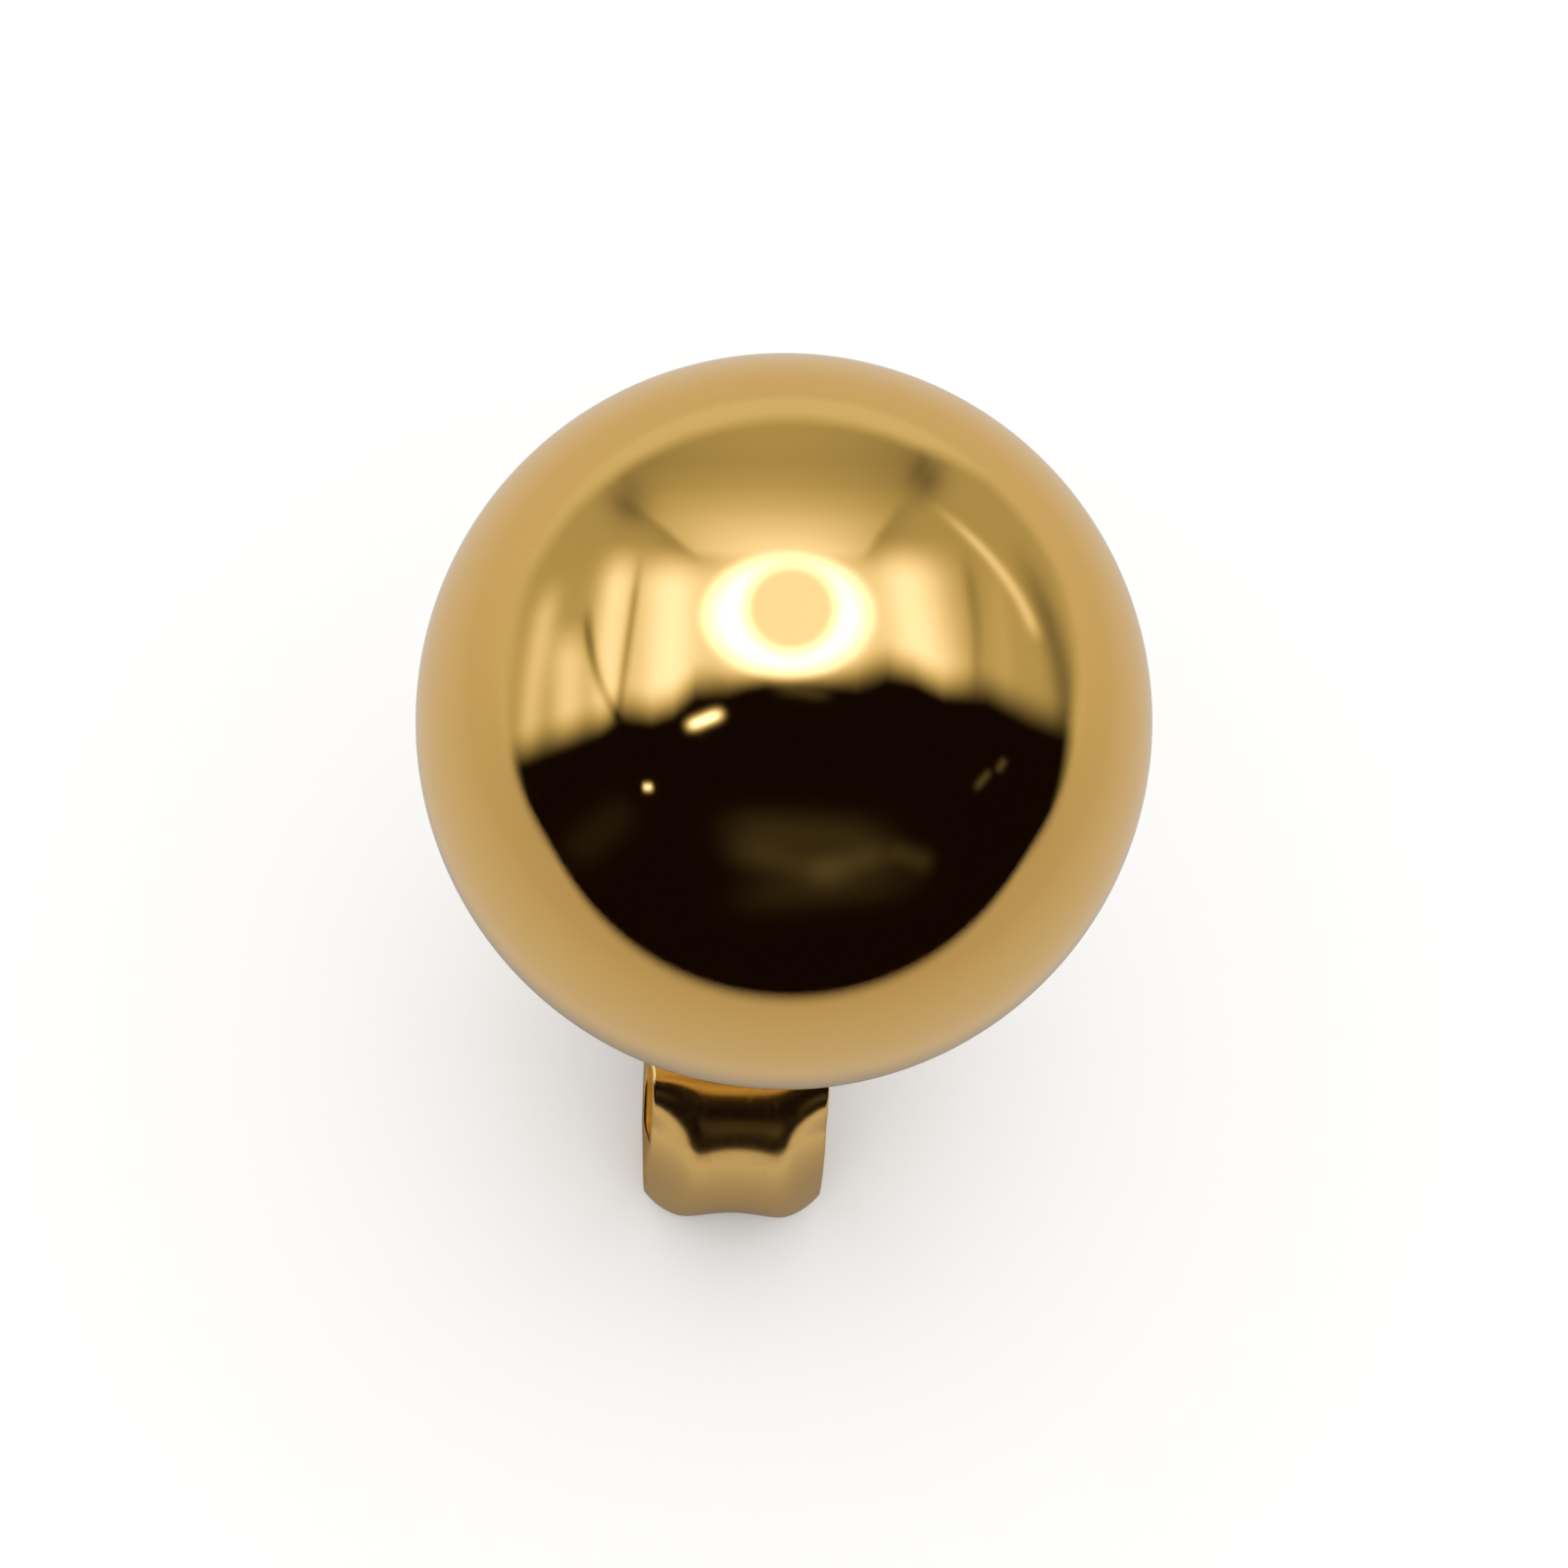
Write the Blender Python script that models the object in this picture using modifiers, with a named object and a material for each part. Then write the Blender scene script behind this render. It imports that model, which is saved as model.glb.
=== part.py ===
"""Ball stud earring.

A hollow gold ball has a straight post soldered under it, and a butterfly ear nut is pushed onto the
end of the post. The stud stands on the curls of its ear nut, with the ball at the top.
Metres, +Z up along the post, origin on the ground under the post's axis.
"""

import math

import bmesh
import bpy
from mathutils import Vector

# Ball, two pressed half shells soldered together
BALL_DIAMETER = 0.0100
BALL_WALL = 0.00020
BALL_SEGMENTS = 48
BALL_RINGS = 22
CAVITY_SEGMENTS = 32
CAVITY_RINGS = 16
VENT_DIAMETER = 0.0007
VENT_LAND = 0.0003  # metal between the vent hole and the solder

# Post, soldered to the ball
POST_DIAMETER = 0.00080
POST_LENGTH = 0.0086  # from the ball to the tip
POST_CHAMFER = 0.00012
SOLDER_FILLET = 0.00040
FILLET_STEPS = 4
TIP_HEIGHT = 0.00030  # from the ground to the tip

# Ear nut, one strip of sheet with both ends curled round towards the post
NUT_HEIGHT = 0.0030
STRIP_THICKNESS = 0.00026
STRIP_EDGE_ROUND = 0.00004
EDGE_SEGMENTS = 2
EDGE_ANGLE = math.radians(55)  # corners sharper than this are rounded
PLATE_WIDTH = 0.0044
PLATE_REACH = 0.0016  # from the post's axis to where the plate ends and the ears curl down
EAR_WIDTH = 0.00250
EAR_END_WIDTH = 0.00256
GRIP_CLEARANCE = 0.00005  # from each curl to the post

# Outline of a curl: round the shoulder, down the flatter face, round the foot and up to the post
SHOULDER_SHARE = 0.42  # radius as a share of the nut's height
SHOULDER_TURN = math.radians(55)
FACE_SHARE = 0.73
FACE_TURN = math.radians(108)
CURL_TURN = math.radians(290)

# Pressing of the ears: a shallow groove down the middle and flanks that are bent back
GROOVE_DEPTH = 0.00008
GROOVE_SHARE = 0.62  # half width of the groove, as a share of the ear's
GROOVE_TURNS = (math.radians(20), math.radians(75))  # where it starts and where it is full
FLANK_DROP = 0.00050
FLANK_STARTS = (0.50, 0.75)  # shares of the half width, at the shoulder and at the foot
FLANK_CREASE = 0.08  # how softly the crease bends, as a share of the flank
FLANK_RISE = (0.0, math.radians(35))
FLANK_FALL = (math.radians(60), math.radians(180))

# Hole of the ear nut, in a dimple that guides the post
HOLE_CLEARANCE = 0.00006
DIMPLE_RADIUS = 0.00105
DIMPLE_DEPTH = 0.00024

PLATE_ROWS = 10
CURL_ROWS = 29
STRIP_COLUMNS = 20
HOLE_SEGMENTS = 32
MERGE_DISTANCE = 0.000001
CUT_MARGIN = 0.00010

GOLD_COLOUR = (0.86, 0.62, 0.27)
BALL_ROUGHNESS = 0.08
NUT_ROUGHNESS = 0.12

# Places that follow from the sizes
POST_RADIUS = POST_DIAMETER / 2
BALL_RADIUS = BALL_DIAMETER / 2
BALL_HEIGHT = TIP_HEIGHT + POST_LENGTH + BALL_RADIUS
HOLE_RADIUS = POST_RADIUS + HOLE_CLEARANCE


def clear_scene():
    for item in list(bpy.data.objects):
        bpy.data.objects.remove(item, do_unlink=True)


def make_collection(name):
    collection = bpy.data.collections.new(name)
    bpy.context.scene.collection.children.link(collection)
    return collection


def gold(name, roughness):
    material = bpy.data.materials.new(name)
    material.use_nodes = True
    shader = material.node_tree.nodes["Principled BSDF"]
    shader.inputs["Base Color"].default_value = (*GOLD_COLOUR, 1.0)
    shader.inputs["Metallic"].default_value = 1.0
    shader.inputs["Roughness"].default_value = roughness
    return material


def add_object(name, mesh, collection, material=None):
    item = bpy.data.objects.new(name, mesh)
    collection.objects.link(item)
    if material is not None:
        mesh.materials.append(material)
    return item


def hide_cutter(item):
    item.hide_render = True
    item.display_type = "WIRE"


def cut(item, name, cutter):
    boolean = item.modifiers.new(name, "BOOLEAN")
    boolean.operation = "DIFFERENCE"
    boolean.solver = "EXACT"
    boolean.object = cutter


# Ball and post


def fillet_centre():
    """Centre of the solder fillet, which touches the ball and the post: radius, height."""
    radius = POST_RADIUS + SOLDER_FILLET
    drop = math.sqrt((BALL_RADIUS + SOLDER_FILLET) ** 2 - radius**2)
    return radius, BALL_HEIGHT - drop


def ball_profile():
    """Down the outside of the ball, from its top to where the solder starts."""
    radius, height = fillet_centre()
    last = math.pi - math.atan2(radius, BALL_HEIGHT - height)
    points = []
    for step in range(BALL_RINGS + 1):
        angle = last * step / BALL_RINGS
        points.append((BALL_RADIUS * math.sin(angle), BALL_HEIGHT + BALL_RADIUS * math.cos(angle)))
    return points


def solder_profile():
    """Round the hollow of the solder, from the ball to the post."""
    radius, height = fillet_centre()
    first = math.pi - math.atan2(BALL_HEIGHT - height, radius)
    points = []
    for step in range(1, FILLET_STEPS + 1):
        angle = first + (math.pi - first) * step / FILLET_STEPS
        across = radius + SOLDER_FILLET * math.cos(angle)
        points.append((across, height + SOLDER_FILLET * math.sin(angle)))
    return points


def tip_profile():
    """Round the chamfered end of the post, to its axis."""
    return [
        (POST_RADIUS, TIP_HEIGHT + POST_CHAMFER),
        (POST_RADIUS - POST_CHAMFER, TIP_HEIGHT),
        (0.0, TIP_HEIGHT),
    ]


def turned_mesh(name, profile):
    mesh = bpy.data.meshes.new(name)
    points = [(across, 0.0, height) for across, height in profile]
    edges = [(index, index + 1) for index in range(len(points) - 1)]
    mesh.from_pydata(points, edges, [])
    return mesh


def cavity_cutter(collection):
    """Hollow of the ball, inside its wall."""
    mesh = bpy.data.meshes.new("ball_cavity")
    shape = bmesh.new()
    bmesh.ops.create_uvsphere(
        shape,
        u_segments=CAVITY_SEGMENTS,
        v_segments=CAVITY_RINGS,
        radius=BALL_RADIUS - BALL_WALL,
    )
    shape.to_mesh(mesh)
    shape.free()
    item = add_object("ball_cavity", mesh, collection)
    item.location.z = BALL_HEIGHT
    hide_cutter(item)
    return item


def rod_cutter(name, radius, bottom, top, offset, collection):
    """Upright rod that cuts a round hole."""
    mesh = bpy.data.meshes.new(name)
    shape = bmesh.new()
    bmesh.ops.create_cone(
        shape,
        cap_ends=True,
        segments=HOLE_SEGMENTS,
        radius1=radius,
        radius2=radius,
        depth=top - bottom,
    )
    shape.to_mesh(mesh)
    shape.free()
    item = add_object(name, mesh, collection)
    item.location = (0.0, offset, (top + bottom) / 2)
    hide_cutter(item)
    return item


def vent_cutter(collection):
    """Small hole beside the solder that lets the air out when the ball is soldered shut."""
    radius = VENT_DIAMETER / 2
    offset = POST_RADIUS + SOLDER_FILLET + VENT_LAND + radius
    bottom = BALL_HEIGHT - BALL_RADIUS - CUT_MARGIN
    return rod_cutter("ball_vent", radius, bottom, BALL_HEIGHT, offset, collection)


def make_ball_and_post(collection, cutters):
    profile = ball_profile() + solder_profile() + tip_profile()
    mesh = turned_mesh("ball_and_post", profile)
    material = gold("polished_gold", BALL_ROUGHNESS)
    item = add_object("ball_and_post", mesh, collection, material)
    turn = item.modifiers.new("turn", "SCREW")
    turn.axis = "Z"
    turn.angle = math.tau
    turn.steps = BALL_SEGMENTS
    turn.render_steps = BALL_SEGMENTS
    turn.use_merge_vertices = True
    turn.merge_threshold = MERGE_DISTANCE
    turn.use_smooth_shade = True
    cut(item, "hollow", cavity_cutter(cutters))
    cut(item, "vent", vent_cutter(cutters))
    return item


# Ear nut


def smooth_rise(value, span):
    """0 before the span, 1 after it, and a soft rise between."""
    start, end = span
    share = min(1.0, max(0.0, (value - start) / (end - start)))
    return share * share * (3.0 - 2.0 * share)


def curl_arcs():
    """Arcs of the curl's outline: the turn where each ends, and its radius.

    The foot's radius makes up the nut's height, and the last arc ends beside the post.
    """
    shoulder = SHOULDER_SHARE * NUT_HEIGHT
    face = FACE_SHARE * NUT_HEIGHT
    down = shoulder * (1.0 - math.cos(SHOULDER_TURN))
    down += face * (math.cos(SHOULDER_TURN) - math.cos(FACE_TURN))
    foot = (NUT_HEIGHT - down) / (1.0 + math.cos(FACE_TURN))
    foot_reach = PLATE_REACH + shoulder * math.sin(SHOULDER_TURN)
    foot_reach += face * (math.sin(FACE_TURN) - math.sin(SHOULDER_TURN))
    foot_reach -= foot * math.sin(FACE_TURN)
    inner = foot_reach - POST_RADIUS - GRIP_CLEARANCE
    return ((SHOULDER_TURN, shoulder), (FACE_TURN, face), (math.pi, foot), (CURL_TURN, inner))


def curl_outline(turn):
    """Distance from the post's axis and height, where the curl has turned this far."""
    distance = PLATE_REACH
    height = NUT_HEIGHT
    start = 0.0
    for end, radius in curl_arcs():
        here = min(turn, end)
        distance += radius * (math.sin(here) - math.sin(start))
        height += radius * (math.cos(here) - math.cos(start))
        start = here
    return distance, height


def ear_set_back(turn, across):
    """How far the pressed ear lies in from the plain curl, across running from -1 to 1."""
    middle = max(0.0, 1.0 - (across / GROOVE_SHARE) ** 2)
    groove = GROOVE_DEPTH * middle**2 * smooth_rise(turn, GROOVE_TURNS)
    fall = smooth_rise(turn, FLANK_FALL)
    start = FLANK_STARTS[0] + (FLANK_STARTS[1] - FLANK_STARTS[0]) * fall
    lean = (abs(across) - start) / (1.0 - start)
    bend = (lean + math.sqrt(lean**2 + FLANK_CREASE**2)) / 2
    return groove + FLANK_DROP * bend * smooth_rise(turn, FLANK_RISE) * (1.0 - fall)


def plate_half_width(distance):
    """Half the width of the round plate, which narrows to the ears."""
    swell = 0.5 + 0.5 * math.cos(math.pi * distance / PLATE_REACH)
    return (EAR_WIDTH + (PLATE_WIDTH - EAR_WIDTH) * swell) / 2


def plate_point(distance, across):
    """Point on the front of the plate, which dips into the dimple round the hole."""
    side = across * plate_half_width(distance)
    nearness = max(0.0, 1.0 - math.hypot(side, distance) / DIMPLE_RADIUS)
    slope = min(1.0, nearness / (1.0 - HOLE_RADIUS / DIMPLE_RADIUS))
    dip = DIMPLE_DEPTH * math.sin(slope * math.pi / 2) ** 2
    return side, distance, NUT_HEIGHT - dip


def curl_point(turn, across):
    """Point on the outside of a curl, turn running from the plate round under it to the post."""
    width = EAR_WIDTH + (EAR_END_WIDTH - EAR_WIDTH) * turn / CURL_TURN
    distance, height = curl_outline(turn)
    plain = Vector((across * width / 2, distance, height))
    outward = Vector((0.0, math.sin(turn), math.cos(turn)))
    return plain - outward * ear_set_back(turn, across)


def strip_rows():
    """Rows of points from the post's axis to the end of one curl."""
    columns = [2.0 * column / STRIP_COLUMNS - 1.0 for column in range(STRIP_COLUMNS + 1)]
    rows = []
    for step in range(PLATE_ROWS):
        distance = PLATE_REACH * step / PLATE_ROWS
        rows.append([plate_point(distance, across) for across in columns])
    for step in range(CURL_ROWS + 1):
        turn = CURL_TURN * step / CURL_ROWS
        rows.append([curl_point(turn, across) for across in columns])
    return rows


def half_strip_mesh():
    mesh = bpy.data.meshes.new("ear_nut")
    shape = bmesh.new()
    rows = [[shape.verts.new(point) for point in row] for row in strip_rows()]
    for near, far in zip(rows, rows[1:]):
        for column in range(STRIP_COLUMNS):
            shape.faces.new((near[column], near[column + 1], far[column + 1], far[column]))
    shape.to_mesh(mesh)
    shape.free()
    mesh.shade_smooth()
    return mesh


def make_ear_nut(collection, cutters):
    material = gold("ear_nut_gold", NUT_ROUGHNESS)
    item = add_object("ear_nut", half_strip_mesh(), collection, material)

    other_half = item.modifiers.new("other_half", "MIRROR")
    other_half.use_axis = (False, True, False)
    other_half.merge_threshold = MERGE_DISTANCE

    sheet = item.modifiers.new("sheet", "SOLIDIFY")
    sheet.thickness = STRIP_THICKNESS
    sheet.offset = -1.0

    edge = item.modifiers.new("edge", "BEVEL")
    edge.width = STRIP_EDGE_ROUND
    edge.segments = EDGE_SEGMENTS
    edge.limit_method = "ANGLE"
    edge.angle_limit = EDGE_ANGLE

    bottom = NUT_HEIGHT - STRIP_THICKNESS - DIMPLE_DEPTH - CUT_MARGIN
    top = NUT_HEIGHT + CUT_MARGIN
    cut(item, "hole", rod_cutter("nut_hole", HOLE_RADIUS, bottom, top, 0.0, cutters))
    return item


clear_scene()
earring = make_collection("ball_stud_earring")
cutter_shapes = make_collection("cutters")
make_ball_and_post(earring, cutter_shapes)
make_ear_nut(earring, cutter_shapes)
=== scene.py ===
import math

import bmesh
import bpy
import numpy as np
from mathutils import Matrix, Vector


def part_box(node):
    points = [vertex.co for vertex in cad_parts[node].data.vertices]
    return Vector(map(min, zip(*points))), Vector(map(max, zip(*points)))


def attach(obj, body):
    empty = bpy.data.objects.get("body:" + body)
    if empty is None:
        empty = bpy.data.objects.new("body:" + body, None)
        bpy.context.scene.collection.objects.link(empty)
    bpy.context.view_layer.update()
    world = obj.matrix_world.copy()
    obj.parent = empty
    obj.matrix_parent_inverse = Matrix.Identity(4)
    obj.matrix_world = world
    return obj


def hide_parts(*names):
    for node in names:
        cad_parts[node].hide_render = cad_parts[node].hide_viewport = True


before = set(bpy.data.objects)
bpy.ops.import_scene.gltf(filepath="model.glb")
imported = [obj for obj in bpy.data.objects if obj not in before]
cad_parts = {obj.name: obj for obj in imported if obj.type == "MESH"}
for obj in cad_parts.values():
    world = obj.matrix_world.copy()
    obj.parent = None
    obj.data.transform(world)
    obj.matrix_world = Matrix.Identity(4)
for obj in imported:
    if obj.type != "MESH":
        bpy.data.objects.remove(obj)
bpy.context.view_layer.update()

# Ball and post
# The hollow gold ball is pressed as two half shells, soldered together and polished until no seam shows.
# Its wire post is soldered on underneath with a small hollow fillet, beside the vent hole of the ball.
BALL_RADIUS = 0.0050
BALL_WALL = 0.00020
BALL_RINGS = 128
POST_RADIUS = 0.00040
POST_CHAMFER = 0.00012
SOLDER_FILLET = 0.00040
FILLET_RINGS = 12
VENT_RADIUS = 0.00035
VENT_LAND = 0.00030
TURNED_SEGMENTS = 192
CAVITY_SEGMENTS = 64
CUTTER_REACH = 1.1
BALL_SHARP_ANGLE = math.radians(30)
MERGE_DISTANCE = 0.0000005
POST_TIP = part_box("ball_and_post")[0].z
BALL_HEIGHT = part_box("ball_and_post")[1].z - BALL_RADIUS


def make_object(name, mesh):
    """New object that holds a mesh."""
    item = bpy.data.objects.new(name, mesh)
    bpy.context.scene.collection.objects.link(item)
    return item


def mesh_from(name, shape):
    """New mesh from a bmesh, which is freed."""
    mesh = bpy.data.meshes.new(name)
    shape.to_mesh(mesh)
    shape.free()
    return mesh


def rod(name, radius, bottom, top, offset):
    """Upright rod that cuts a round hole."""
    shape = bmesh.new()
    bmesh.ops.create_cone(
        shape, cap_ends=True, segments=CAVITY_SEGMENTS, radius1=radius, radius2=radius, depth=top - bottom
    )
    item = make_object(name, mesh_from(name, shape))
    item.location = (0.0, offset, (top + bottom) / 2)
    return item


def cut(item, name, cutter):
    """Cut one object out of another."""
    boolean = item.modifiers.new(name, "BOOLEAN")
    boolean.operation = "DIFFERENCE"
    boolean.solver = "EXACT"
    boolean.object = cutter


def finish_mesh(item, cutters, sharp_angle):
    """Keep what the modifiers make as the object's own mesh, smooth but for its sharp edges."""
    bpy.context.view_layer.update()
    made = item.evaluated_get(bpy.context.evaluated_depsgraph_get())
    mesh = bpy.data.meshes.new_from_object(made)
    item.modifiers.clear()
    item.data = mesh
    for cutter in cutters:
        bpy.data.objects.remove(cutter, do_unlink=True)
    mesh.shade_smooth()
    mesh.set_sharp_from_angle(angle=sharp_angle)


def turned_profile():
    """Down the outside, from the ball's top round the solder to the post's tip."""
    fillet_across = POST_RADIUS + SOLDER_FILLET
    fillet_drop = math.sqrt((BALL_RADIUS + SOLDER_FILLET) ** 2 - fillet_across**2)
    solder_angle = math.pi - math.atan2(fillet_across, fillet_drop)
    points = []
    for angle in np.linspace(0.0, solder_angle, BALL_RINGS):
        points.append((BALL_RADIUS * math.sin(angle), BALL_HEIGHT + BALL_RADIUS * math.cos(angle)))
    for angle in np.linspace(solder_angle - math.pi, -math.pi / 2, FILLET_RINGS)[1:]:
        across = fillet_across + SOLDER_FILLET * math.sin(angle)
        points.append((across, BALL_HEIGHT - fillet_drop + SOLDER_FILLET * math.cos(angle)))
    points.append((POST_RADIUS, POST_TIP + POST_CHAMFER))
    points.append((POST_RADIUS - POST_CHAMFER, POST_TIP))
    points.append((0.0, POST_TIP))
    return points


profile_points = [(across, 0.0, height) for across, height in turned_profile()]
profile_edges = [(step, step + 1) for step in range(len(profile_points) - 1)]
profile_mesh = bpy.data.meshes.new("ball_and_post_polished")
profile_mesh.from_pydata(profile_points, profile_edges, [])
ball_and_post = make_object("ball_and_post_polished", profile_mesh)
turn = ball_and_post.modifiers.new("turn", "SCREW")
turn.axis = "Z"
turn.angle = math.tau
turn.steps = TURNED_SEGMENTS
turn.render_steps = TURNED_SEGMENTS
turn.use_merge_vertices = True
turn.merge_threshold = MERGE_DISTANCE

cavity_shape = bmesh.new()
bmesh.ops.create_uvsphere(
    cavity_shape, u_segments=CAVITY_SEGMENTS, v_segments=CAVITY_SEGMENTS // 2, radius=BALL_RADIUS - BALL_WALL
)
cavity = make_object("ball_cavity", mesh_from("ball_cavity", cavity_shape))
cavity.location.z = BALL_HEIGHT
vent_offset = POST_RADIUS + SOLDER_FILLET + VENT_LAND + VENT_RADIUS
vent = rod("ball_vent", VENT_RADIUS, BALL_HEIGHT - CUTTER_REACH * BALL_RADIUS, BALL_HEIGHT, vent_offset)
cut(ball_and_post, "hollow", cavity)
cut(ball_and_post, "vent", vent)
finish_mesh(ball_and_post, [cavity, vent], BALL_SHARP_ANGLE)


# Surface left by polishing: a slow ripple from the press, a slow change of tone and fine hairlines.
DEEP_GOLD = (0.93, 0.640, 0.235, 1.0)
PALE_GOLD = (0.93, 0.668, 0.265, 1.0)
HAIRLINE_TURN = (0.5, 0.3, 0.2)
HAIRLINE_STRETCH = (1.0, 0.05, 1.0)
HAIRLINE_SHARE = (0.55, 0.75)
TONE_SCALE = 260.0

polish = bpy.data.node_groups.new("polished surface", "ShaderNodeTree")
polish.interface.new_socket("Ripple Scale", in_out="INPUT", socket_type="NodeSocketFloat")
polish.interface.new_socket("Hairline Scale", in_out="INPUT", socket_type="NodeSocketFloat")
polish.interface.new_socket("Ripple", in_out="OUTPUT", socket_type="NodeSocketFloat")
polish.interface.new_socket("Hairlines", in_out="OUTPUT", socket_type="NodeSocketFloat")
polish.interface.new_socket("Tone", in_out="OUTPUT", socket_type="NodeSocketFloat")
polish_in = polish.nodes.new("NodeGroupInput")
polish_out = polish.nodes.new("NodeGroupOutput")
polish_place = polish.nodes.new("ShaderNodeTexCoord")

ripple = polish.nodes.new("ShaderNodeTexNoise")
ripple.inputs["Detail"].default_value = 1.0
polish.links.new(polish_place.outputs["Object"], ripple.inputs["Vector"])
polish.links.new(polish_in.outputs["Ripple Scale"], ripple.inputs["Scale"])
polish.links.new(ripple.outputs["Fac"], polish_out.inputs["Ripple"])

stretch = polish.nodes.new("ShaderNodeMapping")
stretch.inputs["Rotation"].default_value = HAIRLINE_TURN
stretch.inputs["Scale"].default_value = HAIRLINE_STRETCH
hairline_noise = polish.nodes.new("ShaderNodeTexNoise")
hairline_noise.inputs["Detail"].default_value = 2.0
hairline_range = polish.nodes.new("ShaderNodeMapRange")
hairline_range.inputs["From Min"].default_value = HAIRLINE_SHARE[0]
hairline_range.inputs["From Max"].default_value = HAIRLINE_SHARE[1]
polish.links.new(polish_place.outputs["Object"], stretch.inputs["Vector"])
polish.links.new(stretch.outputs["Vector"], hairline_noise.inputs["Vector"])
polish.links.new(polish_in.outputs["Hairline Scale"], hairline_noise.inputs["Scale"])
polish.links.new(hairline_noise.outputs["Fac"], hairline_range.inputs["Value"])
polish.links.new(hairline_range.outputs["Result"], polish_out.inputs["Hairlines"])

tone_noise = polish.nodes.new("ShaderNodeTexNoise")
tone_noise.inputs["Scale"].default_value = TONE_SCALE
tone_noise.inputs["Detail"].default_value = 3.0
polish.links.new(polish_place.outputs["Object"], tone_noise.inputs["Vector"])
polish.links.new(tone_noise.outputs["Fac"], polish_out.inputs["Tone"])


def gold_material(name, ripple_scale, ripple_height, hairline_scale, hairline_height, smooth, scuffed):
    """Gold with its own polish: how smooth it is, and how rough its hairlines are."""
    material = bpy.data.materials.new(name)
    material.use_nodes = True
    nodes, links = material.node_tree.nodes, material.node_tree.links
    shader = nodes["Principled BSDF"]
    shader.inputs["Metallic"].default_value = 1.0

    surface = nodes.new("ShaderNodeGroup")
    surface.node_tree = polish
    surface.inputs["Ripple Scale"].default_value = ripple_scale
    surface.inputs["Hairline Scale"].default_value = hairline_scale

    tint = nodes.new("ShaderNodeMix")
    tint.data_type = "RGBA"
    tint.inputs["A"].default_value = DEEP_GOLD
    tint.inputs["B"].default_value = PALE_GOLD
    links.new(surface.outputs["Tone"], tint.inputs["Factor"])
    links.new(tint.outputs["Result"], shader.inputs["Base Color"])

    gloss = nodes.new("ShaderNodeMapRange")
    gloss.inputs["To Min"].default_value = smooth
    gloss.inputs["To Max"].default_value = scuffed
    links.new(surface.outputs["Hairlines"], gloss.inputs["Value"])
    links.new(gloss.outputs["Result"], shader.inputs["Roughness"])

    wave = nodes.new("ShaderNodeBump")
    wave.inputs["Strength"].default_value = 1.0
    wave.inputs["Distance"].default_value = ripple_height
    links.new(surface.outputs["Ripple"], wave.inputs["Height"])
    scratch = nodes.new("ShaderNodeBump")
    scratch.invert = True
    scratch.inputs["Strength"].default_value = 1.0
    scratch.inputs["Distance"].default_value = hairline_height
    links.new(surface.outputs["Hairlines"], scratch.inputs["Height"])
    links.new(wave.outputs["Normal"], scratch.inputs["Normal"])
    links.new(scratch.outputs["Normal"], shader.inputs["Normal"])
    return material


ball_and_post.data.materials.clear()
ball_and_post.data.materials.append(
    gold_material(
        "polished_gold",
        ripple_scale=300.0,
        ripple_height=0.0000030,
        hairline_scale=9000.0,
        hairline_height=0.00000002,
        smooth=0.035,
        scuffed=0.06,
    )
)
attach(ball_and_post, "stud")
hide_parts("ball_and_post")


# Ear nut
# One strip of gold sheet, pressed to a round plate with two ears. The plate has a dimpled hole for the
# post, and both ears are curled round under it until they grip the post.
NUT_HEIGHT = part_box("ear_nut")[1].z
STRIP_THICKNESS = 0.00026
STRIP_EDGE_ROUND = 0.00004
STRIP_EDGE_STEPS = 3
STRIP_EDGE_ANGLE = math.radians(55)
NUT_SHARP_ANGLE = math.radians(40)
PLATE_WIDTH = 0.0044
PLATE_REACH = 0.0016
EAR_WIDTH = 0.00250
EAR_END_WIDTH = 0.00256
GRIP_CLEARANCE = 0.00005
SHOULDER_RADIUS = 0.42 * NUT_HEIGHT
SHOULDER_TURN = math.radians(55)
FACE_RADIUS = 0.73 * NUT_HEIGHT
FACE_TURN = math.radians(108)
CURL_TURN = math.radians(290)
GROOVE_DEPTH = 0.00008
GROOVE_SHARE = 0.62
GROOVE_TURNS = (math.radians(20), math.radians(75))
FLANK_DROP = 0.00050
FLANK_STARTS = (0.50, 0.75)
FLANK_CREASE = 0.22
FOOT_ROUNDING = 0.60
CORNER_ROUNDING = 3.0
FLANK_RISE = (0.0, math.radians(48))
FLANK_LENGTH = 0.0022
FLANK_END = math.radians(210)
HOLE_RADIUS = 0.00046
DIMPLE_RADIUS = 0.00105
DIMPLE_DEPTH = 0.00024
PLATE_ROWS = 32
CURL_ROWS = 117
STRIP_COLUMNS = 46


def smooth_rise(value, span):
    """0 before the span, 1 after it, and a soft rise between."""
    share = min(1.0, max(0.0, (value - span[0]) / (span[1] - span[0])))
    return share * share * (3.0 - 2.0 * share)


def curl_arcs():
    """Arcs of the curl's outline, round the shoulder, face, foot and inner side: end turn and radius."""
    down = SHOULDER_RADIUS * (1.0 - math.cos(SHOULDER_TURN))
    down += FACE_RADIUS * (math.cos(SHOULDER_TURN) - math.cos(FACE_TURN))
    foot = (NUT_HEIGHT - down) / (1.0 + math.cos(FACE_TURN))
    foot_reach = PLATE_REACH + SHOULDER_RADIUS * math.sin(SHOULDER_TURN)
    foot_reach += FACE_RADIUS * (math.sin(FACE_TURN) - math.sin(SHOULDER_TURN))
    foot_reach -= foot * math.sin(FACE_TURN)
    inner = foot_reach - POST_RADIUS - GRIP_CLEARANCE
    return ((SHOULDER_TURN, SHOULDER_RADIUS), (FACE_TURN, FACE_RADIUS), (math.pi, foot), (CURL_TURN, inner))


def curl_length(turned):
    """Length of strip from the plate to a place on the curl."""
    length = 0.0
    arc_start = 0.0
    for arc_end, radius in curl_arcs():
        here = min(turned, arc_end)
        length += radius * (here - arc_start)
        arc_start = here
    return length


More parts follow.
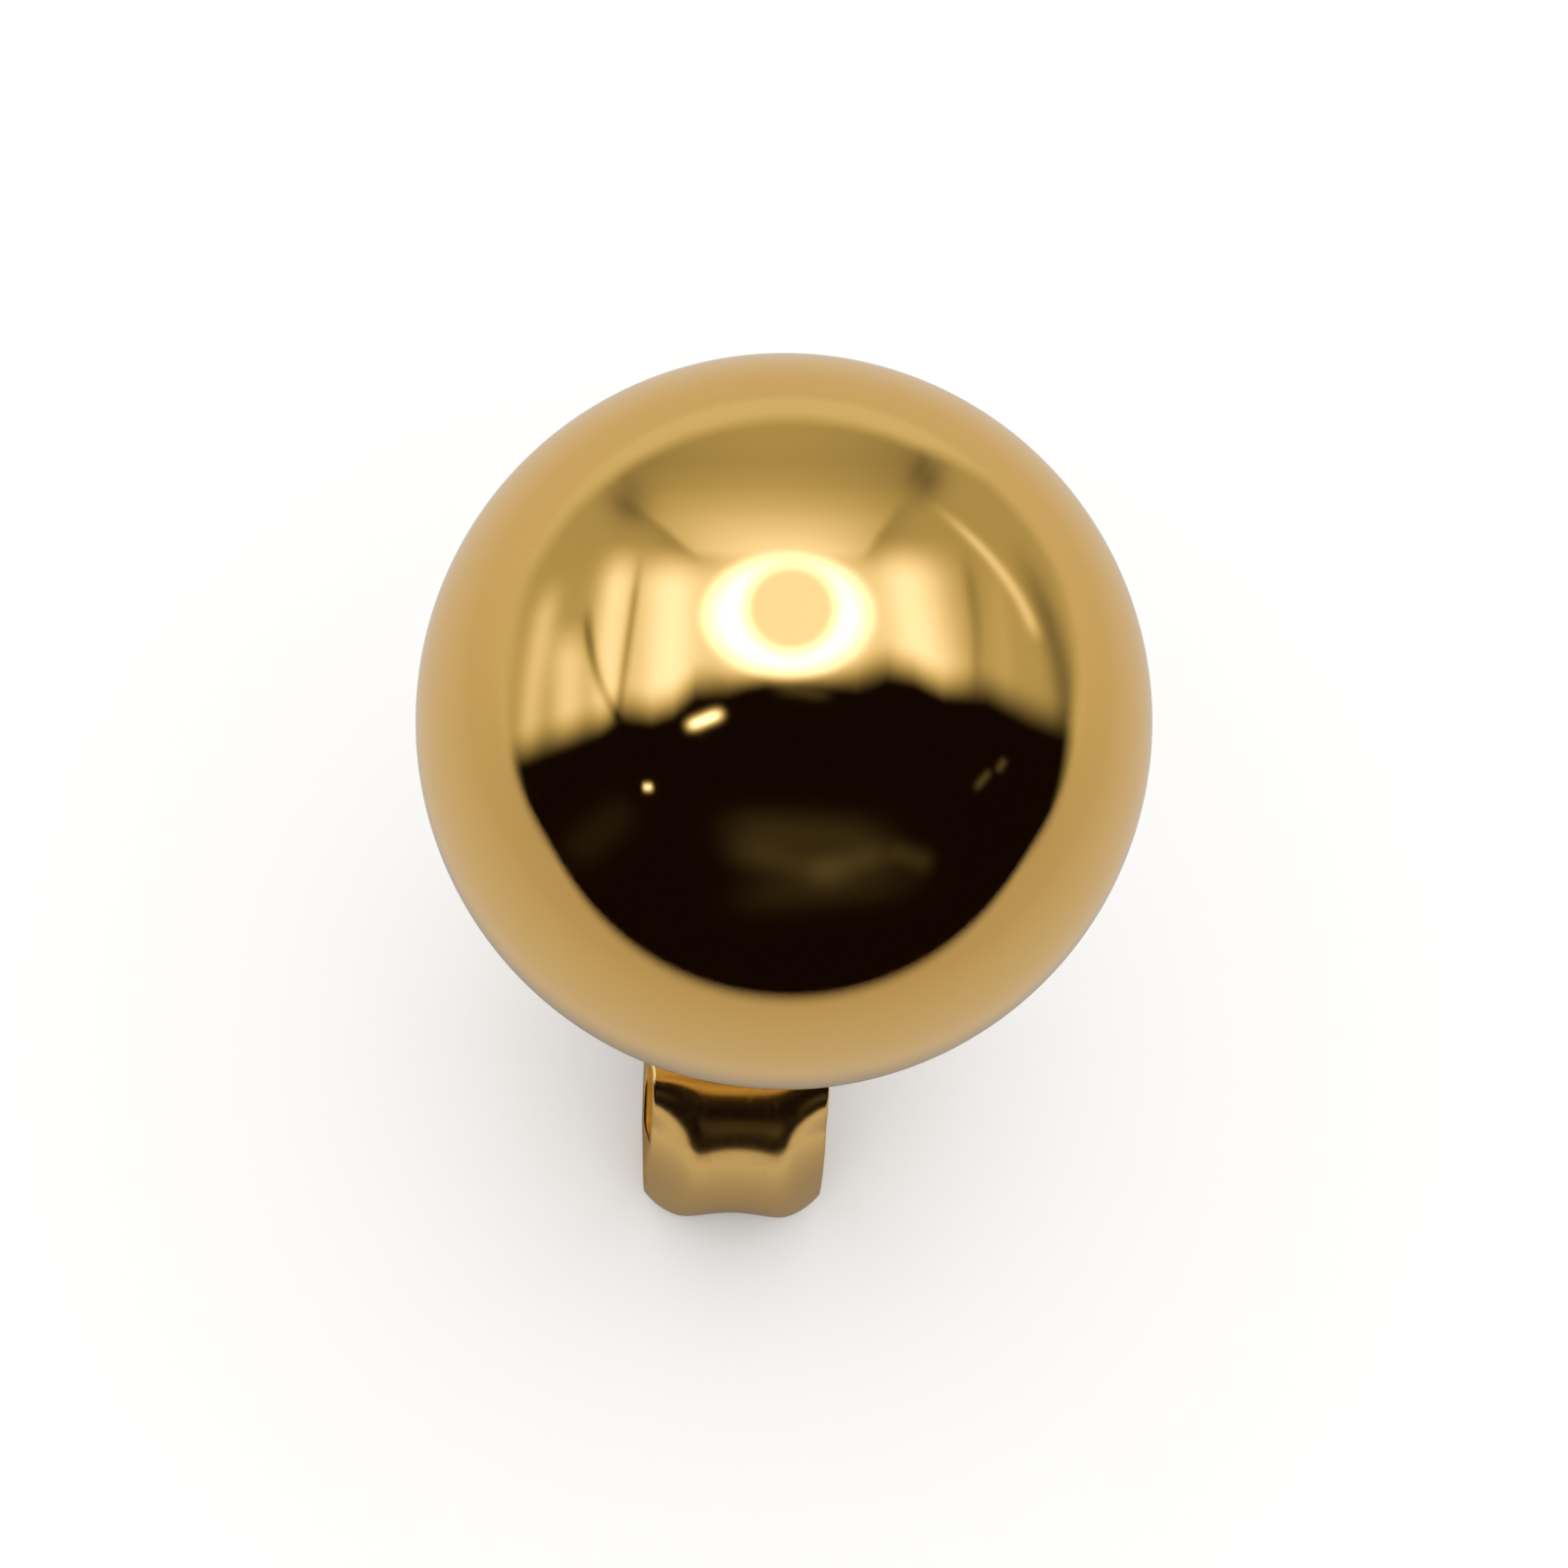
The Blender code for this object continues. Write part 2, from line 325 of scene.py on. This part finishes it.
def ear_set_back(turned, across):
    """How far the pressed ear lies in from the plain curl, across running from -1 to 1.

    A shallow groove runs down its middle. Its flanks bend back from the shoulder on, and the bend grows
    rounder and fades out under the foot.
    """
    middle = max(0.0, 1.0 - (across / GROOVE_SHARE) ** 2)
    groove = GROOVE_DEPTH * middle**2 * smooth_rise(turned, GROOVE_TURNS)
    past_flank = (curl_length(turned) - FLANK_LENGTH) / (curl_length(FLANK_END) - FLANK_LENGTH)
    fall = 1.0 - (1.0 - min(1.0, max(0.0, past_flank)) ** 2) ** 2
    flank_start = FLANK_STARTS[0] + (FLANK_STARTS[1] - FLANK_STARTS[0]) * fall
    lean = (abs(across) - flank_start) / (1.0 - flank_start)
    crease = FLANK_CREASE + FOOT_ROUNDING * fall
    bend = ((lean + math.sqrt(lean**2 + crease**2)) / 2) ** (1.0 + CORNER_ROUNDING * fall)
    return groove + FLANK_DROP * bend * smooth_rise(turned, FLANK_RISE) * (1.0 - fall)


def plate_point(distance, across):
    """Point on the front of the round plate, which dips into the dimple round the hole."""
    swell = 0.5 + 0.5 * math.cos(math.pi * distance / PLATE_REACH)
    side = across * (EAR_WIDTH + (PLATE_WIDTH - EAR_WIDTH) * swell) / 2
    nearness = max(0.0, 1.0 - math.hypot(side, distance) / DIMPLE_RADIUS)
    slope = min(1.0, nearness / (1.0 - HOLE_RADIUS / DIMPLE_RADIUS))
    return Vector((side, distance, NUT_HEIGHT - DIMPLE_DEPTH * math.sin(slope * math.pi / 2) ** 2))


def curl_point(turned, across):
    """Point on the outside of a curl, which turns from the plate round under it to the post."""
    width = EAR_WIDTH + (EAR_END_WIDTH - EAR_WIDTH) * turned / CURL_TURN
    place = Vector((across * width / 2, PLATE_REACH, NUT_HEIGHT))
    arc_start = 0.0
    for arc_end, radius in curl_arcs():
        here = min(turned, arc_end)
        place.y += radius * (math.sin(here) - math.sin(arc_start))
        place.z += radius * (math.cos(here) - math.cos(arc_start))
        arc_start = here
    return place - Vector((0.0, math.sin(turned), math.cos(turned))) * ear_set_back(turned, across)


strip_shape = bmesh.new()
strip_columns = np.linspace(-1.0, 1.0, STRIP_COLUMNS + 1)
strip_rows = []
for distance in np.linspace(0.0, PLATE_REACH, PLATE_ROWS)[:-1]:
    strip_rows.append([plate_point(distance, across) for across in strip_columns])
for turned in np.linspace(0.0, CURL_TURN, CURL_ROWS):
    strip_rows.append([curl_point(turned, across) for across in strip_columns])
strip_rows = [[strip_shape.verts.new(point) for point in row] for row in strip_rows]
for near, far in zip(strip_rows, strip_rows[1:]):
    for column in range(STRIP_COLUMNS):
        strip_shape.faces.new((near[column], near[column + 1], far[column + 1], far[column]))
ear_nut = make_object("ear_nut_pressed", mesh_from("ear_nut_pressed", strip_shape))

other_half = ear_nut.modifiers.new("other half", "MIRROR")
other_half.use_axis = (False, True, False)
other_half.merge_threshold = MERGE_DISTANCE
sheet = ear_nut.modifiers.new("sheet", "SOLIDIFY")
sheet.thickness = STRIP_THICKNESS
sheet.offset = -1.0
edge = ear_nut.modifiers.new("edge", "BEVEL")
edge.width = STRIP_EDGE_ROUND
edge.segments = STRIP_EDGE_STEPS
edge.limit_method = "ANGLE"
edge.angle_limit = STRIP_EDGE_ANGLE
post_hole = rod("post_hole", HOLE_RADIUS, NUT_HEIGHT / 2, NUT_HEIGHT * CUTTER_REACH, 0.0)
cut(ear_nut, "hole", post_hole)
finish_mesh(ear_nut, [post_hole], NUT_SHARP_ANGLE)

ear_nut.data.materials.clear()
ear_nut.data.materials.append(
    gold_material(
        "ear_nut_gold",
        ripple_scale=900.0,
        ripple_height=0.0000025,
        hairline_scale=12000.0,
        hairline_height=0.00000006,
        smooth=0.19,
        scuffed=0.27,
    )
)
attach(ear_nut, "nut")
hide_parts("ear_nut")


# Camera
# It looks steeply down from the front and a little from the left, at the distance of a close picture.
CAMERA_LEAN = math.radians(18.6)
CAMERA_LEFT = math.radians(3.0)
CAMERA_DISTANCE = 0.25
BALL_SHARE_OF_FRAME = 0.47
FRAME_DROP = 0.17
SENSOR_WIDTH = 36.0

towards_camera = Vector(
    (
        -math.sin(CAMERA_LEFT),
        -math.sin(CAMERA_LEAN) * math.cos(CAMERA_LEFT),
        math.cos(CAMERA_LEAN) * math.cos(CAMERA_LEFT),
    )
)
camera_right = Vector((0.0, 1.0, 0.0)).cross(towards_camera).normalized()
camera_up = towards_camera.cross(camera_right)
ball_centre = Vector((0.0, 0.0, BALL_HEIGHT))
ball_in_view = 2.0 * math.tan(math.asin(BALL_RADIUS / CAMERA_DISTANCE))

camera_data = bpy.data.cameras.new("camera")
camera_data.sensor_width = SENSOR_WIDTH
camera_data.lens = SENSOR_WIDTH * BALL_SHARE_OF_FRAME / ball_in_view
camera_data.clip_start = 0.001
camera = bpy.data.objects.new("camera", camera_data)
bpy.context.scene.collection.objects.link(camera)
camera.location = ball_centre + towards_camera * CAMERA_DISTANCE - camera_up * (FRAME_DROP * BALL_RADIUS)
camera.rotation_euler = Matrix((camera_right, camera_up, towards_camera)).transposed().to_euler()
bpy.context.scene.camera = camera


# Floor
# A pale sheet that the stud stands on. What the gold mirrors of it is a darker, warmer copy that only
# reflections see, a painted reflection, and ends softly at the table's front edge and at the foot of the
# tent.
FLOOR_REACH = 1.5
FLOOR_NEAR = (0.94, 0.94, 0.935, 1.0)
FLOOR_FAR = (0.90, 0.90, 0.90, 1.0)
FLOOR_CHANGE = 0.5
SHEET_REACH = 0.11
SHEET_LIFT = 0.00002
SHEET_NEAR = (0.60, 0.55, 0.52, 1.0)
SHEET_FAR = (0.505, 0.430, 0.325, 1.0)
SHEET_CHANGE = 0.035
SHEET_END = (0.060, 0.100)
SHEET_FRONT = (-0.045, -0.031)
# Painted shade on the mirrored sheet: darker towards the front as a painted shadow from the camera side, and
# darker close round the nut's foot as a painted contact shadow
SHEET_DEPTH = (-0.035, 0.035)
SHEET_DEPTH_SHADE = (0.87, 1.10)
SHEET_FOOT = (0.003, 0.010)
SHEET_FOOT_SHADE = (0.65, 1.0)


def flat_sheet(name, reach, height):
    """Level square round the post's axis."""
    mesh = bpy.data.meshes.new(name)
    corners = [(reach * x, reach * y, height) for x, y in ((-1, -1), (1, -1), (1, 1), (-1, 1))]
    mesh.from_pydata(corners, [], [(0, 1, 2, 3)])
    return make_object(name, mesh)


def matt_material(name, near_colour, far_colour, far):
    """Matt sheet whose colour changes slowly with the distance from the stud."""
    material = bpy.data.materials.new(name)
    material.use_nodes = True
    nodes, links = material.node_tree.nodes, material.node_tree.links
    shader = nodes["Principled BSDF"]
    shader.inputs["Roughness"].default_value = 1.0
    shader.inputs["Specular IOR Level"].default_value = 0.0
    place = nodes.new("ShaderNodeTexCoord")
    distance = nodes.new("ShaderNodeVectorMath")
    distance.operation = "LENGTH"
    share = nodes.new("ShaderNodeMapRange")
    share.inputs["From Max"].default_value = far
    tint = nodes.new("ShaderNodeMix")
    tint.data_type = "RGBA"
    tint.inputs["A"].default_value = near_colour
    tint.inputs["B"].default_value = far_colour
    links.new(place.outputs["Object"], distance.inputs[0])
    links.new(distance.outputs["Value"], share.inputs["Value"])
    links.new(share.outputs["Result"], tint.inputs["Factor"])
    links.new(tint.outputs["Result"], shader.inputs["Base Color"])
    return material


floor = flat_sheet("floor", FLOOR_REACH, 0.0)
floor.data.materials.append(matt_material("floor", FLOOR_NEAR, FLOOR_FAR, FLOOR_CHANGE))
floor.visible_glossy = False

mirrored_sheet = flat_sheet("mirrored_sheet", SHEET_REACH, SHEET_LIFT)
shaded_warm_sheet = matt_material("mirrored_sheet", SHEET_NEAR, SHEET_FAR, SHEET_CHANGE)
warm_nodes, warm_links = shaded_warm_sheet.node_tree.nodes, shaded_warm_sheet.node_tree.links
warm_shader = warm_nodes["Principled BSDF"]
warm_place = warm_nodes.new("ShaderNodeTexCoord")
warm_parts = warm_nodes.new("ShaderNodeSeparateXYZ")
warm_distance = warm_nodes.new("ShaderNodeVectorMath")
warm_distance.operation = "LENGTH"
warm_links.new(warm_place.outputs["Object"], warm_parts.inputs["Vector"])
warm_links.new(warm_place.outputs["Object"], warm_distance.inputs[0])


def warm_range(source, places, values):
    """Soft change from one value to another between two places on the sheet."""
    change = warm_nodes.new("ShaderNodeMapRange")
    change.interpolation_type = "SMOOTHSTEP"
    change.inputs["From Min"].default_value = places[0]
    change.inputs["From Max"].default_value = places[1]
    change.inputs["To Min"].default_value = values[0]
    change.inputs["To Max"].default_value = values[1]
    warm_links.new(source, change.inputs["Value"])
    return change.outputs["Result"]


outward = warm_distance.outputs["Value"]
backward = warm_parts.outputs["Y"]
sheet_ends = warm_nodes.new("ShaderNodeMath")
sheet_ends.operation = "MULTIPLY"
warm_links.new(warm_range(outward, SHEET_END, (1.0, 0.0)), sheet_ends.inputs[0])
warm_links.new(warm_range(backward, SHEET_FRONT, (0.0, 1.0)), sheet_ends.inputs[1])
warm_links.new(sheet_ends.outputs["Value"], warm_shader.inputs["Alpha"])
# Painted shade and painted shadow: the sheet's colour is darkened towards the front and round the nut's foot
sheet_shade = warm_nodes.new("ShaderNodeMath")
sheet_shade.operation = "MULTIPLY"
warm_links.new(warm_range(backward, SHEET_DEPTH, SHEET_DEPTH_SHADE), sheet_shade.inputs[0])
warm_links.new(warm_range(outward, SHEET_FOOT, SHEET_FOOT_SHADE), sheet_shade.inputs[1])
shaded_sheet = warm_nodes.new("ShaderNodeVectorMath")
shaded_sheet.operation = "SCALE"
warm_links.new(warm_shader.inputs["Base Color"].links[0].from_socket, shaded_sheet.inputs[0])
warm_links.new(sheet_shade.outputs["Value"], shaded_sheet.inputs["Scale"])
warm_links.new(shaded_sheet.outputs["Vector"], warm_shader.inputs["Base Color"])
mirrored_sheet.data.materials.append(shaded_warm_sheet)
for seen_by in ("camera", "diffuse", "shadow", "transmission"):
    setattr(mirrored_sheet, "visible_" + seen_by, False)


# Light tent
# What the gold mirrors: a pale tent with a ceiling, pleated side cloths and a ring lamp, open to a dark
# room at the front. It is laid out by where the ball shows it, in shares of the ball's radius. Its light and
# shade are painted into the colours of a glowing mesh that only reflections see: a painted reflection.
TENT_RADIUS = 0.20
TENT_RINGS = 180
TENT_SPOKES = 420
TENT_CENTRE = 0.002
TENT_EDGE = 0.995

# One row for each pleat: p at the heights q of 0.05, 0.25 and 0.45, half width, painted light (painted
# shade where it is below zero), and the q of its lower and upper end
PLEAT_HEIGHTS = (0.05, 0.25, 0.45)
PLEATS = [
    ((-0.320, -0.305, -0.300), 0.100, 0.92, -0.30, 0.42),
    ((-0.480, -0.470, -0.440), 0.045, 0.66, -0.30, 0.43),
    ((-0.585, -0.580, -0.570), 0.048, 0.50, -0.30, 0.22),
    ((-0.685, -0.655, -0.600), 0.032, 0.34, -0.30, 0.34),
    ((-0.447, -0.418, -0.390), 0.013, -0.44, -0.30, 0.40),
    ((-0.475, -0.530, -0.500), 0.015, -0.50, -0.30, 0.27),
    ((0.400, 0.355, 0.320), 0.100, 0.90, -0.30, 0.44),
    ((0.700, 0.678, 0.553), 0.018, 0.44, 0.24, 0.54),
    ((0.515, 0.520, 0.490), 0.020, -0.16, -0.30, 0.42),
    ((0.600, 0.590, 0.560), 0.025, 0.06, -0.30, 0.40),
]
# How softly a pleat ends below and above
PLEAT_ENDS = (0.08, 0.14)
# Cloths between the pleats: their light, then how much brighter they are, round which q and how widely
SIDE_LIGHT = 0.39
SIDE_GLOW = (0.05, 0.20, 0.20)
# Seams between the ceiling and the side cloths: heights q, and p there, then the shade beside them:
# depth, distance from the seam and half width
LEFT_SEAM = ((0.44, 0.52, 0.60, 0.66), (-0.23, -0.32, -0.42, -0.45))
RIGHT_SEAM = ((0.44, 0.50, 0.60, 0.70), (0.22, 0.25, 0.32, 0.39))
SEAM_SOFTNESS = 0.035
SEAM_SHADE = (0.15, 0.02, 0.05)
# Ceiling: heights q, and its light there, then how much darker it is at the seams, and the q where it
# starts and how softly
CEILING = ((0.40, 0.46, 0.52, 0.58, 0.64, 0.70, 0.80), (1.15, 1.08, 0.85, 0.61, 0.44, 0.37, 0.39))
CEILING_FALL = 0.35
CEILING_START = (0.44, 0.06)
# Painted shade in the corners of the ceiling: p, q, half width, half height and depth
CEILING_CORNER_SHADES = (
    (-0.42, 0.585, 0.06, 0.06, 0.15),
    (0.39, 0.655, 0.05, 0.06, 0.17),
)
# Painted shade of a fold at the right: depth, radius and half width, then the p where it starts and how
# softly
FOLD_SHADE = (0.55, 0.765, 0.035)
FOLD_SHADE_START = (0.66, 0.14)
# Where the tent ends above the dark room: p and q of places along its lower hem
HEM = (
    (-0.74, -0.08), (-0.66, -0.05), (-0.50, 0.01), (-0.44, 0.05), (-0.36, 0.04), (-0.30, 0.06),
    (-0.24, 0.11), (-0.15, 0.10), (-0.05, 0.12), (0.12, 0.115), (0.20, 0.12), (0.28, 0.16),
    (0.35, 0.15), (0.43, 0.11), (0.55, 0.10), (0.66, 0.04), (0.76, 0.00),
)
# How softly it ends: distances p from the middle, and the softness there
HEM_SOFTNESS = ((0.10, 0.25), (0.08, 0.13))
# How far out the tent reaches: degrees round from the top, and the radius
TENT_RIM = (
    (-90, -75, -60, -45, -25, 0, 25, 40, 60, 75, 90),
    (0.745, 0.755, 0.790, 0.805, 0.810, 0.820, 0.825, 0.855, 0.845, 0.820, 0.780),
)
RIM_SOFTNESS = 0.05
# Beyond the rim: light, how much brighter it is further up, and from which q it is lit and how softly
OUTSIDE_LIGHT = 0.55
OUTSIDE_RISE = (0.08, 0.6, 0.6)
OUTSIDE_START = (-0.30, 0.20)
# Ring lamp and the glow on the cloth round it: p, q, half width and half height of each ellipse, the
# light, and where on the ellipse each edge lies and how softly
LAMP_OUTSIDE = (0.01, 0.285, 0.225, 0.165)
LAMP_INSIDE = (0.02, 0.305, 0.120, 0.115)
LAMP_LIGHT = 2.6
LAMP_OUTSIDE_EDGE = (0.92, 0.46)
LAMP_INSIDE_EDGE = (1.08, 0.56)
LAMP_GLOW = (0.01, 0.28, 0.27, 0.19)
GLOW_LIGHT = 1.10
GLOW_EDGE = (1.0, 0.5)
# Small things that catch light in the dark room: p, q, half length, half width, tilt and light
GLINTS = (
    (-0.215, 0.003, 0.046, 0.015, 22, 2.40),
    (-0.370, -0.180, 0.012, 0.010, 0, 1.60),
    (0.540, -0.160, 0.030, 0.010, 50, 0.07),
    (0.590, -0.120, 0.020, 0.010, 60, 0.07),
    (0.060, -0.310, 0.210, 0.055, -4, 0.028),
    (0.010, -0.385, 0.150, 0.045, -12, 0.032),
    (0.180, -0.385, 0.110, 0.040, 14, 0.040),
    (0.345, -0.370, 0.060, 0.032, -20, 0.030),
    (0.110, -0.455, 0.230, 0.050, 6, 0.016),
    (-0.500, -0.300, 0.110, 0.055, 40, 0.010),
    (0.050, 0.080, 0.070, 0.018, -8, 0.050),
)
# Warm where it is dim and cool where it is bright: light, and red and blue for each part of green
RED_SHARE = ((0.40, 0.85, 1.30), (1.13, 1.07, 0.96))
BLUE_SHARE = ((0.40, 0.85, 1.30, 2.00), (0.64, 0.97, 1.22, 1.15))
# Faint light of the dark room, as red, green and blue
ROOM_LIGHT = (0.0060, 0.0026, 0.0015)


def soft_step(value, edge_at, softness):
    """Smooth rise from 0 to 1 round an edge."""
    share = np.clip((value - edge_at) / softness + 0.5, 0.0, 1.0)
    return share * share * (3.0 - 2.0 * share)


def bump_at(value, centre, half_width):
    """Soft round hump."""
    return np.exp(-(((value - centre) / half_width) ** 2))


def across_ellipse(p, q, centre_p, centre_q, half_width, half_height):
    """0 at the centre of an ellipse and 1 on it."""
    return np.hypot((p - centre_p) / half_width, (q - centre_q) / half_height)


def side_cloths(p, q):
    """Light of the pleated cloths at the sides."""
    glow, glow_q, glow_height = SIDE_GLOW
    side = SIDE_LIGHT + glow * bump_at(q, glow_q, glow_height)
    for places, half_width, light, low, high in PLEATS:
        curve = np.polyfit(PLEAT_HEIGHTS, places, 2)
        reach = soft_step(q, low, PLEAT_ENDS[0]) * (1.0 - soft_step(q, high, PLEAT_ENDS[1]))
        side = side + light * reach * bump_at(p, np.polyval(curve, q), half_width)
    return side


def cloths_and_ceiling(p, q):
    """Light of the side cloths and of the ceiling between its two seams."""
    seam_left = np.interp(q, *LEFT_SEAM)
    seam_right = np.interp(q, *RIGHT_SEAM)
    across = (2.0 * p - seam_left - seam_right) / (seam_right - seam_left)
    ceiling = np.interp(q, *CEILING) * (1.0 - CEILING_FALL * np.minimum(across**2, 1.0))
    up = soft_step(q, *CEILING_START)
    shade, beside_seam, shade_width = SEAM_SHADE
    seams = bump_at(p, seam_left - beside_seam, shade_width)
    seams = seams + bump_at(p, seam_right + beside_seam, shade_width)
    side = side_cloths(p, q) * (1.0 - shade * up * seams)
    over = soft_step(p, seam_left, SEAM_SOFTNESS) * (1.0 - soft_step(p, seam_right, SEAM_SOFTNESS)) * up
    return side * (1.0 - over) + ceiling * over


def glint_light(p, q, place_p, place_q, half_length, half_width, tilt, shine):
    """Light of one small thing in the dark room."""
    lean_p, lean_q = math.cos(math.radians(tilt)), math.sin(math.radians(tilt))
    along = (p - place_p) * lean_p + (q - place_q) * lean_q
    beside = (q - place_q) * lean_p - (p - place_p) * lean_q
    return shine * np.exp(-((along / half_length) ** 4) - (beside / half_width) ** 2)


def tent_light(p, q):
    """Light of the tent at p to the right and q up on the ball's disc."""
    r = np.hypot(p, q)
    light = cloths_and_ceiling(p, q)
    for corner_p, corner_q, half_width, half_height, depth in CEILING_CORNER_SHADES:
        light = light - depth * bump_at(p, corner_p, half_width) * bump_at(q, corner_q, half_height)
    glow = 1.0 - soft_step(across_ellipse(p, q, *LAMP_GLOW), *GLOW_EDGE)
    light = light + np.maximum(GLOW_LIGHT - light, 0.0) * glow
    fold_depth, fold_radius, fold_width = FOLD_SHADE
    light = light * (1.0 - fold_depth * bump_at(r, fold_radius, fold_width) * soft_step(p, *FOLD_SHADE_START))
    softness = np.interp(np.abs(p), *HEM_SOFTNESS)
    light = np.maximum(light, 0.0) * soft_step(q, np.interp(p, *zip(*HEM)), softness)
    rim = np.interp(np.degrees(np.arctan2(p, q)), *TENT_RIM)
    rise, rise_q, rise_softness = OUTSIDE_RISE
    outside = (OUTSIDE_LIGHT + rise * soft_step(q, rise_q, rise_softness)) * soft_step(q, *OUTSIDE_START)
    light = light + (outside - light) * soft_step(r, rim, RIM_SOFTNESS)
    for glint in GLINTS:
        light = light + glint_light(p, q, *glint)
    return light


def ring_lamp(p, q):
    """Ring lamp in front of the ceiling."""
    lit_inside = 1.0 - soft_step(across_ellipse(p, q, *LAMP_OUTSIDE), *LAMP_OUTSIDE_EDGE)
    return LAMP_LIGHT * lit_inside * soft_step(across_ellipse(p, q, *LAMP_INSIDE), *LAMP_INSIDE_EDGE)


def mirrored_at(p, q):
    """Where on the tent a ray goes that the ball mirrors at p, q of its disc."""
    slope = ball_in_view / 2
    ray = np.stack([p, q], axis=1) @ np.array([camera_right, camera_up]) * slope - np.array(towards_camera)
    ray /= np.linalg.norm(ray, axis=1, keepdims=True)
    eye = np.array(towards_camera) * CAMERA_DISTANCE
    along = -(ray @ eye)
    inside = np.maximum(along**2 - (CAMERA_DISTANCE**2 - BALL_RADIUS**2), 0.0)
    hit = eye + ray * (along - np.sqrt(inside))[:, None]
    normal = hit / np.linalg.norm(hit, axis=1, keepdims=True)
    out = ray - 2.0 * np.sum(ray * normal, axis=1, keepdims=True) * normal
    forward = np.sum(hit * out, axis=1)
    reach = -forward + np.sqrt(forward**2 + TENT_RADIUS**2 - BALL_RADIUS**2)
    return hit + out * reach[:, None] + np.array(ball_centre)


ring_radii = np.linspace(TENT_CENTRE, TENT_EDGE, TENT_RINGS)[:, None]
spoke_angles = np.linspace(0.0, math.tau, TENT_SPOKES, endpoint=False)
tent_p = (ring_radii * np.sin(spoke_angles)).ravel()
tent_q = (ring_radii * np.cos(spoke_angles)).ravel()
tent_faces = []
for ring in range(TENT_RINGS - 1):
    for spoke in range(TENT_SPOKES):
        here, there = ring * TENT_SPOKES, (ring + 1) * TENT_SPOKES
        after = (spoke + 1) % TENT_SPOKES
        tent_faces.append((here + spoke, here + after, there + after, there + spoke))
tent_mesh = bpy.data.meshes.new("light_tent")
tent_mesh.from_pydata(mirrored_at(tent_p, tent_q).tolist(), [], tent_faces)

# Painted light and shade of the tent, seen only in reflections
tent_green = tent_light(tent_p, tent_q) + ring_lamp(tent_p, tent_q)
tent_colours = np.stack(
    [
        tent_green * np.interp(tent_green, *RED_SHARE) + ROOM_LIGHT[0],
        tent_green + ROOM_LIGHT[1],
        tent_green * np.interp(tent_green, *BLUE_SHARE) + ROOM_LIGHT[2],
        np.ones_like(tent_green),
    ],
    axis=1,
)
tent_paint = tent_mesh.color_attributes.new("light", "FLOAT_COLOR", "POINT")
tent_paint.data.foreach_set("color", tent_colours.astype(np.float32).ravel())
tent = make_object("light_tent", tent_mesh)

tent_material = bpy.data.materials.new("light_tent")
tent_material.use_nodes = True
tent_nodes, tent_links = tent_material.node_tree.nodes, tent_material.node_tree.links
tent_nodes.clear()
tent_colour = tent_nodes.new("ShaderNodeVertexColor")
tent_colour.layer_name = "light"
tent_glow = tent_nodes.new("ShaderNodeEmission")
tent_output = tent_nodes.new("ShaderNodeOutputMaterial")
tent_links.new(tent_colour.outputs["Color"], tent_glow.inputs["Color"])
tent_links.new(tent_glow.outputs["Emission"], tent_output.inputs["Surface"])
tent_mesh.materials.append(tent_material)
for seen_by in ("camera", "diffuse", "shadow", "transmission"):
    setattr(tent, "visible_" + seen_by, False)


# Soft light
# Even white light from all round, which the floor shows and the gold doesn't.
SOFT_WHITE = (1.0, 1.0, 1.0, 1.0)
SOFT_STRENGTH = 1.15

world = bpy.data.worlds.new("soft_light")
world.use_nodes = True
world.node_tree.nodes["Background"].inputs["Color"].default_value = SOFT_WHITE
world.node_tree.nodes["Background"].inputs["Strength"].default_value = SOFT_STRENGTH
world.cycles_visibility.glossy = False
bpy.context.scene.world = world
bpy.context.scene.view_settings.view_transform = "Standard"
